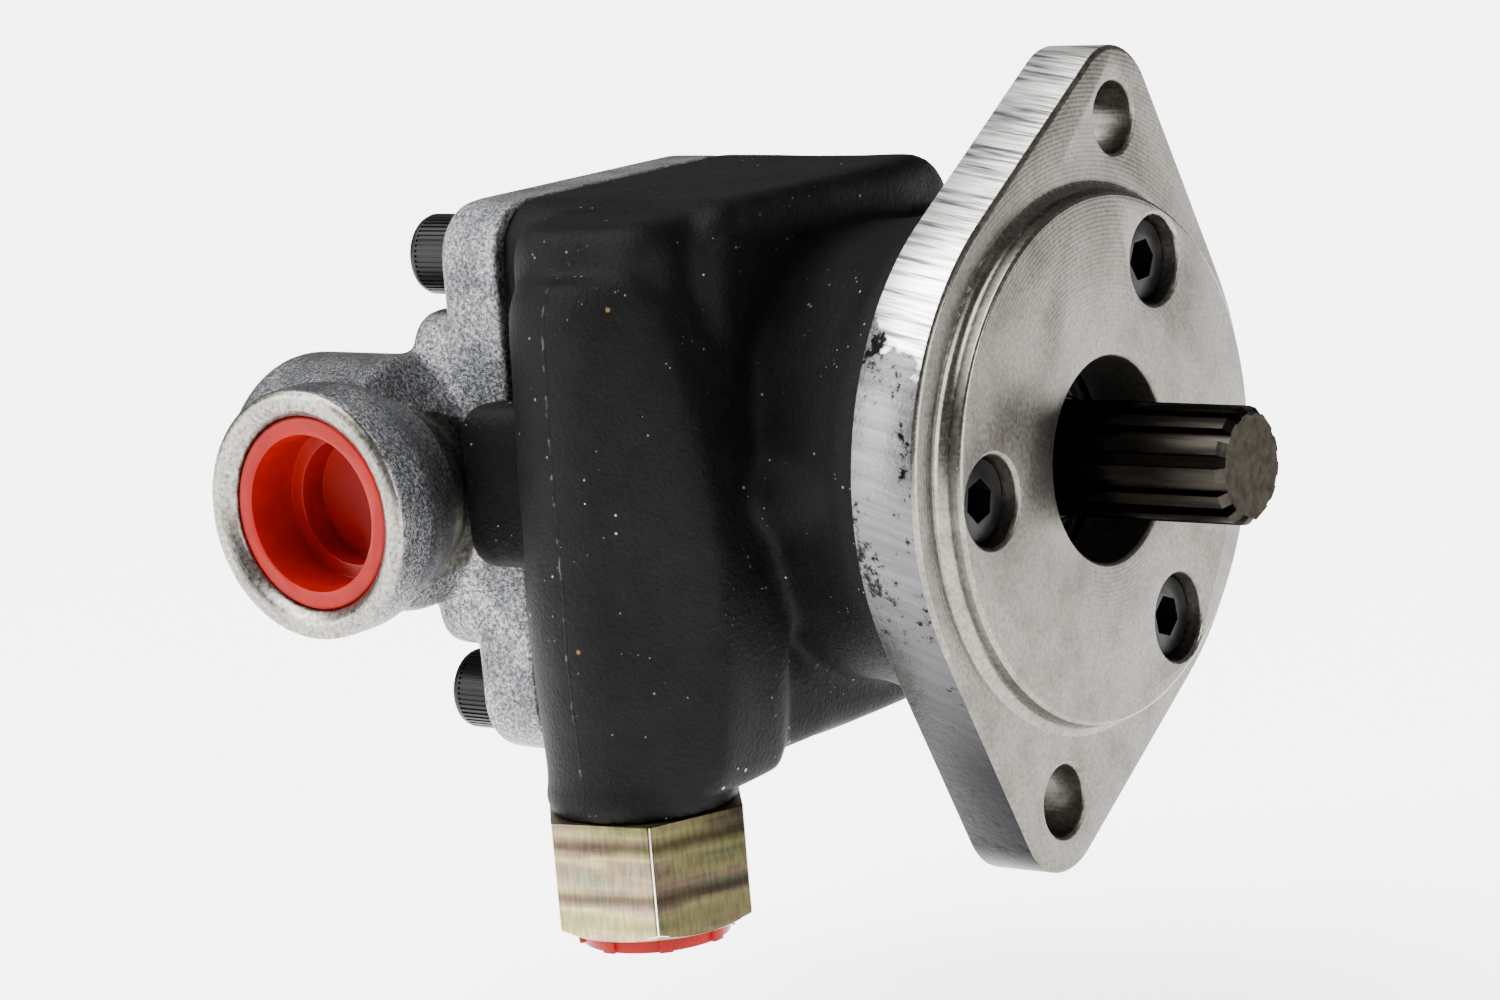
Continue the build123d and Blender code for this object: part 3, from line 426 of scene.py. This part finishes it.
MAT = {
    "paint": make_black_paint(),
    "cast": make_cast_aluminium(),
    "flange": make_turned_aluminium("turned_aluminium_face", (0, 0, 0), "X", 0.7,
                                    "#4b4844", "#6c6862", 0.3),
    # the cove is a lighter copy of the face's aluminium: its lighter tones are a painted highlight
    # on the band round the pilot
    "cove": make_turned_aluminium("turned_aluminium_cove_painted_highlight", (0, 0, 0), "X", 0.5,
                                  "#5a5752", "#7b7770", 0.18),
    "ring": make_turned_aluminium("turned_aluminium_port", (PORT_X, 0, PORT_Z), "Y", 0.5,
                                  "#4a4743", "#98948d", 0.24),
    "rim": make_flange_rim(),
    "shaft": make_ground_steel(),
    "oxide": make_black_oxide(),
    "zinc": make_yellow_zinc(),
    "plastic": make_red_plastic(),
    "rubber": make_rubber(),
    "hard": make_plain_steel("hardened_steel", "#8d8b88", "#b7b5b1", 0.3),
    # pale steel for the adapter's bevelled corners: a painted highlight along the corners
    "painted_light": make_plain_steel("painted_highlight_zinc_corner", "#c9c5b8", "#eeebe2", 0.25),
    "spring": make_plain_steel("phosphated_spring_steel", "#3a3a3b", "#5c5c5d", 0.42),
    "sinter": make_plain_steel("sintered_steel", "#77756f", "#9b9992", 0.45, 0.6),
    "bronze": make_plain_steel("bearing_bronze", "#9c7a4c", "#c09a63", 0.35),
}


# ---------------------------------------------------------------- modelling helpers

def only(piece):
    """Make this the one selected and active object, and return it."""
    bpy.ops.object.select_all(action="DESELECT")
    piece.select_set(True)
    bpy.context.view_layer.objects.active = piece
    return piece


def edit(piece, mode):
    """Enter edit mode on one piece, with vertex, edge or face selection and nothing selected."""
    only(piece)
    bpy.ops.object.mode_set(mode="EDIT")
    bpy.ops.mesh.select_mode(type=mode)
    bpy.ops.mesh.select_all(action="DESELECT")


def done():
    """Leave edit mode."""
    bpy.ops.object.mode_set(mode="OBJECT")


def pick_faces(piece, rule):
    """In edit mode, select the faces for which rule(centre, normal) is true."""
    bpy.ops.mesh.select_mode(type="FACE")
    bpy.ops.mesh.select_all(action="DESELECT")
    bpy.ops.object.mode_set(mode="OBJECT")
    for face in piece.data.polygons:
        face.select = bool(rule(face.center, face.normal))
    bpy.ops.object.mode_set(mode="EDIT")


def apply(piece, kind, **settings):
    """Add one modifier with its settings and apply it."""
    only(piece)
    modifier = piece.modifiers.new(kind.lower(), kind)
    for name, value in settings.items():
        setattr(modifier, name, value)
    bpy.ops.object.modifier_apply(modifier=modifier.name)


def settle(piece, *materials, smooth=30):
    """Put a piece's place into its mesh, give it its materials and smooth its round faces."""
    only(piece)
    bpy.ops.object.transform_apply(location=True, rotation=True, scale=True)
    piece.data.materials.clear()
    for material in materials:
        piece.data.materials.append(material)
    bpy.ops.object.shade_smooth_by_angle(angle=radians(smooth))
    return piece


def copy_of(node, name):
    """An own, merged copy of a CAD node's mesh, as a new object."""
    made = NODES[node].copy()
    made.data = made.data.copy()
    made.name = made.data.name = name
    made.parent = None
    for key in list(made.keys()):
        del made[key]
    bpy.context.scene.collection.objects.link(made)
    edit(made, "VERT")
    bpy.ops.mesh.select_all(action="SELECT")
    bpy.ops.mesh.remove_doubles(threshold=0.002 * MM)
    bpy.ops.mesh.customdata_custom_splitnormals_clear()
    done()
    return made


def crisp(node, name, width, *materials, slot, body="housing"):
    """A copy of a machined part, with its sharp edges broken by a small round."""
    piece = copy_of(node, name)
    edit(piece, "FACE")
    bpy.ops.mesh.select_all(action="SELECT")
    bpy.ops.mesh.dissolve_limited(angle_limit=radians(0.4))
    done()
    apply(piece, "BEVEL", width=width, segments=2, limit_method="ANGLE",
          angle_limit=radians(32), use_clamp_overlap=True, harden_normals=False)
    settle(piece, *materials)
    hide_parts(node)
    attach(piece, body)
    return piece


def weigh(piece, name, rule):
    """A vertex group whose weight at each vertex is rule(place)."""
    group = piece.vertex_groups.new(name=name)
    for vertex in piece.data.vertices:
        group.add([vertex.index], rule(vertex.co), "REPLACE")
    return name


def fade(value, start, end):
    """0 before start, 1 after end, and straight in between."""
    return min(1.0, max(0.0, (value - start) / (end - start)))


# ---------------------------------------------------------------- castings

def build_body_casting():
    """The iron body with the soft edges and gentle waves of a sand casting."""
    piece = copy_of("pump_body", "body_casting")
    apply(piece, "REMESH", mode="VOXEL", voxel_size=0.95 * MM, adaptivity=0.0)

    # the bores, the joint faces and the adapter's thread stay as they were machined
    def outside(p):
        away = min(fade(p.x - JOINT_X, 0.3 * MM, 2.5 * MM),
                   fade(FLANGE_BACK - p.x, 0.3 * MM, 2.0 * MM),
                   fade(p.z - COLUMN_FOOT, 0.5 * MM, 2.0 * MM))
        inner = 30 * MM if p.x > -58 * MM else 35.5 * MM
        if hypot(p.y - ROTOR_Y, p.z) < inner and p.y > -34 * MM:
            return 0.0
        if hypot(p.x - COLUMN_X, p.y - COLUMN_Y) < 14 * MM and p.z < -30 * MM:
            return 0.0
        return away

    weigh(piece, "skin", outside)
    apply(piece, "SMOOTH", factor=0.5, iterations=14, vertex_group="skin")
    waves = bpy.data.textures.new("casting_waves", "CLOUDS")
    waves.noise_scale = 0.016
    waves.noise_depth = 1
    apply(piece, "DISPLACE", texture=waves, texture_coords="LOCAL", strength=0.7 * MM,
          mid_level=0.5, vertex_group="skin")
    settle(piece, MAT["paint"], smooth=60)
    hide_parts("pump_body")
    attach(piece, "housing")


def build_cover_casting():
    """The aluminium cover: soft where it was cast, crisp where its port was machined."""
    piece = copy_of("rear_cover", "cover_casting")
    apply(piece, "REMESH", mode="VOXEL", voxel_size=0.75 * MM, adaptivity=0.0)

    def outside(p):
        away = min(fade(JOINT_X - p.x, 0.3 * MM, 2.0 * MM),
                   fade(p.y - PORT_FACE, 1.2 * MM, 3.0 * MM))
        if hypot(p.x - PORT_X, p.z - PORT_Z) < 17.5 * MM and p.y < -50 * MM:
            return 0.0
        return away

    weigh(piece, "skin", outside)
    apply(piece, "SMOOTH", factor=0.5, iterations=16, vertex_group="skin")
    settle(piece, MAT["cast"], MAT["ring"], smooth=60)
    for face in piece.data.polygons:
        c = face.center
        away = hypot(c.x - PORT_X, c.z - PORT_Z)
        in_bore = away < PORT_BORE and c.y < -40 * MM
        on_face = c.y < PORT_FACE + 0.9 * MM and away < PORT_RING
        face.material_index = 1 if in_bore or on_face else 0
    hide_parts("rear_cover")
    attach(piece, "housing")


# ---------------------------------------------------------------- screws

HEAD_RADIUS = 6.5 * MM
HEAD_HEIGHT = 8.0 * MM
HEAD_SIDES = 96           # every other side is a groove of the knurl
SCREW_RADIUS = 4.0 * MM
SOCKET_ACROSS = 6.0 * MM
SOCKET_DEPTH = 4.5 * MM


def build_screw(name, shank):
    """An M8 socket screw standing on its seat at the origin, head up: knurled and chamfered."""
    bpy.ops.object.select_all(action="DESELECT")
    bpy.ops.mesh.primitive_cylinder_add(vertices=HEAD_SIDES, radius=HEAD_RADIUS, depth=HEAD_HEIGHT,
                                        location=(0, 0, HEAD_HEIGHT / 2))
    screw = bpy.context.object
    screw.name = screw.data.name = name
    bpy.ops.object.transform_apply(location=True, rotation=True, scale=True)
    # the top edge is chamfered
    edit(screw, "FACE")
    pick_faces(screw, lambda c, n: n.z > 0.9)
    bpy.ops.mesh.bevel(offset=0.7 * MM, segments=2, affect="EDGES")
    # a plain band is left above and below the knurl
    for height in (1.0 * MM, HEAD_HEIGHT - 1.3 * MM):
        bpy.ops.mesh.select_all(action="SELECT")
        bpy.ops.mesh.bisect(plane_co=(0, 0, height), plane_no=(0, 0, 1))

    def knurled(c, n):
        angle = degrees(Vector((c.x, c.y)).angle_signed(Vector((1, 0)))) % 360
        turn = round(angle / (360 / HEAD_SIDES) - 0.5)
        return abs(n.z) < 0.3 and 1.1 * MM < c.z < HEAD_HEIGHT - 1.4 * MM and turn % 2 == 0

    pick_faces(screw, knurled)
    bpy.ops.mesh.inset(thickness=0.04 * MM, depth=-0.26 * MM, use_individual=True)
    # the shank is drawn down out of the underside
    pick_faces(screw, lambda c, n: n.z < -0.9 and c.z < 0.01 * MM)
    bpy.ops.mesh.inset(thickness=HEAD_RADIUS - SCREW_RADIUS)
    bpy.ops.mesh.extrude_region_move(TRANSFORM_OT_translate={"value": (0, 0, -shank)})
    done()
    # the hexagon socket is cut with a six-sided punch
    bpy.ops.object.select_all(action="DESELECT")
    bpy.ops.mesh.primitive_cylinder_add(
        vertices=6, radius=SOCKET_ACROSS / 2 / cos(pi / 6), depth=SOCKET_DEPTH * 2,
        location=(0, 0, HEAD_HEIGHT))
    punch = bpy.context.object
    apply(screw, "BOOLEAN", object=punch, operation="DIFFERENCE", solver="EXACT")
    bpy.data.objects.remove(punch)
    return screw


def place_screws(node, shank, direction, count_name):
    """Copies of one screw, at the heads of a CAD group of screws, joined to one piece."""
    screw = build_screw(count_name, shank)
    spots = []
    for vertex in NODES[node].data.vertices:
        spot = Vector((vertex.co.y, vertex.co.z))
        for known in spots:
            if (known[0] - spot).length < 14 * MM:
                known[1].append(spot)
                break
        else:
            spots.append((spot, [spot]))
    low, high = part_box(node)
    seat = high.x - HEAD_HEIGHT if direction > 0 else low.x + HEAD_HEIGHT
    turn = Matrix(((0, 0, direction), (0, 1, 0), (-direction, 0, 0)))
    copies = []
    for number, members in enumerate(group[1] for group in spots):
        lows = Vector((min(m.x for m in members), min(m.y for m in members)))
        highs = Vector((max(m.x for m in members), max(m.y for m in members)))
        middle = (lows + highs) / 2
        copy = screw.copy()
        copy.data = screw.data.copy()
        bpy.context.scene.collection.objects.link(copy)
        spin = Matrix.Rotation(radians(17 + 23 * number), 4, "Z")
        copy.matrix_world = Matrix.Translation(
            (seat, middle.x, middle.y)) @ turn.to_4x4() @ spin
        copies.append(copy)
    bpy.data.objects.remove(screw)
    bpy.ops.object.select_all(action="DESELECT")
    for copy in copies:
        copy.select_set(True)
    bpy.context.view_layer.objects.active = copies[0]
    bpy.ops.object.transform_apply(location=True, rotation=True, scale=True)
    bpy.ops.object.join()
    joined = bpy.context.object
    joined.name = joined.data.name = count_name
    settle(joined, MAT["oxide"], smooth=35)
    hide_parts(node)
    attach(joined, "housing")


# ---------------------------------------------------------------- carried-over parts

def finish_frame_parts():
    """Each part that keeps its CAD shape gets its material."""
    plan = {"drive_shaft": "shaft", "inner_rotor": "sinter",
            "outer_rotor": "sinter", "rotor_key": "hard", "shaft_retaining_rings": "spring",
            "seal_retaining_ring": "spring", "front_bush": "bronze", "rear_bush": "bronze",
            "shaft_seal": "rubber", "seal_spring": "spring", "flange_seal": "rubber",
            "cover_seal": "rubber", "adapter_seal": "rubber", "dowel_pins": "hard"}
    for node, material in plan.items():
        mesh = NODES[node].data
        mesh.materials.clear()
        mesh.materials.append(MAT[material])


def build_machined_parts():
    """The flange, adapter and transport plugs, with their edges broken as a deburring tool
    or a mould leaves them."""
    flange = crisp("mounting_flange", "flange_plate", 0.25 * MM, MAT["flange"], MAT["rim"],
                   MAT["cove"], slot="machined_aluminium")
    for face in flange.data.polygons:
        c = face.center
        away = hypot(c.y, c.z)
        edge = abs(face.normal.x) < 0.5 and away > FLANGE_WAIST
        ear_hole = min((c.yz - EAR_PLACE).length, (c.yz + EAR_PLACE).length) < EAR_HOLE
        cove = COVE_INNER < away < COVE_OUTER and 0.04 < abs(face.normal.x) < 0.985
        face.material_index = 1 if edge and not ear_hole else 2 if cove else 0
    adapter = crisp("port_adapter", "hexagon_adapter", 0.35 * MM, MAT["zinc"], MAT["painted_light"],
                    slot="yellow_zinc_steel")
    # the bevelled corners take the pale steel as a painted highlight
    for face in adapter.data.polygons:
        away = hypot(face.center.x - COLUMN_X, face.center.y - COLUMN_Y)
        corner = abs(face.normal.z) < 0.5 and away > ADAPTER_CORNER
        face.material_index = 1 if corner else 0
    crisp("inlet_plug", "inlet_transport_plug", 0.3 * MM, MAT["plastic"],
          slot="red_polyethylene", body="inlet_cap")
    crisp("outlet_plug", "outlet_transport_plug", 0.3 * MM, MAT["plastic"],
          slot="red_polyethylene", body="outlet_cap")


# ---------------------------------------------------------------- camera, light and floor

def place_camera():
    """Long lens, a little above the pump and to its shaft side, with a slight roll."""
    azimuth, elevation, roll = radians(37.7), radians(10.55), radians(-4.96)
    target = Vector((-0.0400, -0.0349, -0.0013))
    distance = 0.700
    back = Vector((sin(azimuth) * cos(elevation), -cos(azimuth) * cos(elevation),
                   sin(elevation)))
    level = Vector((cos(azimuth), sin(azimuth), 0))
    upward = back.cross(level)
    right = level * cos(roll) + upward * sin(roll)
    up = back.cross(right)
    lens = bpy.data.cameras.new("camera")
    lens.lens = 108.9
    lens.sensor_width = 36.0
    lens.clip_start = 0.01
    camera = bpy.data.objects.new("camera", lens)
    camera.matrix_world = Matrix.Translation(target + back * distance) @ Matrix(
        (right, up, back)).transposed().to_4x4()
    bpy.context.collection.objects.link(camera)
    bpy.context.scene.camera = camera


def soft_light(name, place, aim, size, power):
    """A large rectangular light at place that faces aim."""
    lamp = bpy.data.lights.new(name, "AREA")
    lamp.shape = "RECTANGLE"
    lamp.size, lamp.size_y = size
    lamp.energy = power
    made = bpy.data.objects.new(name, lamp)
    made.location = place
    made.rotation_euler = (Vector(aim) - Vector(place)).to_track_quat("-Z", "Y").to_euler()
    bpy.context.collection.objects.link(made)


def build_studio():
    """White lit floor under even, soft daylight, with two soft lamps for the metal."""
    world = bpy.data.worlds.new("studio")
    world.use_nodes = True
    world.node_tree.nodes["Background"].inputs["Color"].default_value = colour("#fbfbfa")
    world.node_tree.nodes["Background"].inputs["Strength"].default_value = 0.32
    bpy.context.scene.world = world
    sky = bpy.data.lights.new("overhead_light", "SUN")
    sky.energy = 8.5
    sky.angle = radians(50)
    overhead = bpy.data.objects.new("overhead_light", sky)
    overhead.rotation_euler = Vector((-0.35, -0.35, 0.87)).to_track_quat("Z", "Y").to_euler()
    bpy.context.collection.objects.link(overhead)
    middle = (-0.05, -0.02, 0.0)
    soft_light("left_light", (-0.65, -0.65, 0.25), middle, (0.3, 0.5), 8)
    soft_light("right_light", (0.75, -0.1, 0.2), middle, (0.3, 0.5), 5)
    bpy.ops.mesh.primitive_plane_add(size=12, location=(0, 0, cad_box[0][2] - PLUG_TRAVEL))
    floor = bpy.context.object
    floor.name = "floor"
    # opal acrylic lit from below, as a light table: an even white with hardly a shadow
    material, tree, _, surface = new_material("lit_opal_acrylic")
    feed(tree, surface, {"Base Color": colour("#f8f8f7"), "Roughness": 0.8,
                         "Emission Color": colour("#ffffff"), "Emission Strength": 3.6})
    floor.data.materials.append(material)


finish_frame_parts()
build_machined_parts()
build_body_casting()
build_cover_casting()
place_screws("cover_screws", 21 * MM, -1, "cover_socket_screws")
place_screws("flange_screws", 17.5 * MM, 1, "flange_socket_screws")
place_camera()
build_studio()
